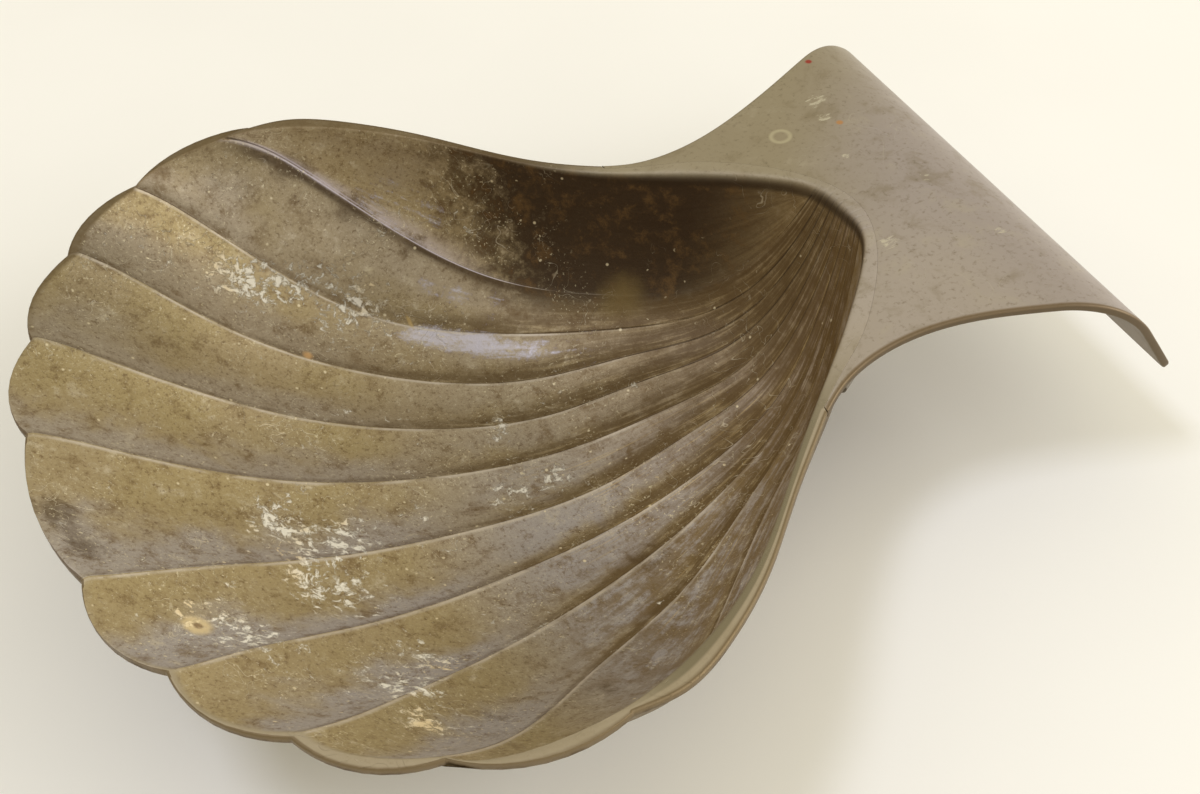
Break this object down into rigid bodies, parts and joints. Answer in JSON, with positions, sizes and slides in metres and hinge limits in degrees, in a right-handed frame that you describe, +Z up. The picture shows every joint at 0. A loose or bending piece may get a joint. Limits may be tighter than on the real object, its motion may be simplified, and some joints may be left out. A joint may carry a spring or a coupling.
{
  "type": "baptismal shell",
  "caption": "Scallop-shaped metal shell with a flared handle for scooping and pouring water at a baptism.",
  "frame": {"origin": "middle of the bowl's resting flat, on the surface that it stands on", "axes": "+X from the lobed lip towards the handle, +Z up, +Y to the left when looking along +X"},
  "size_m": [0.1604, 0.1338, 0.0379],
  "materials": {
    "shell_metal": "dark patina, worn",
    "handle_metal": "patina, rubbed smooth",
    "solder": "dull solder"
  },
  "bodies": {
    "root": {"bowl": "shell_metal", "handle": "handle_metal", "solder_bead": "solder"}
  },
  "joints": []
}
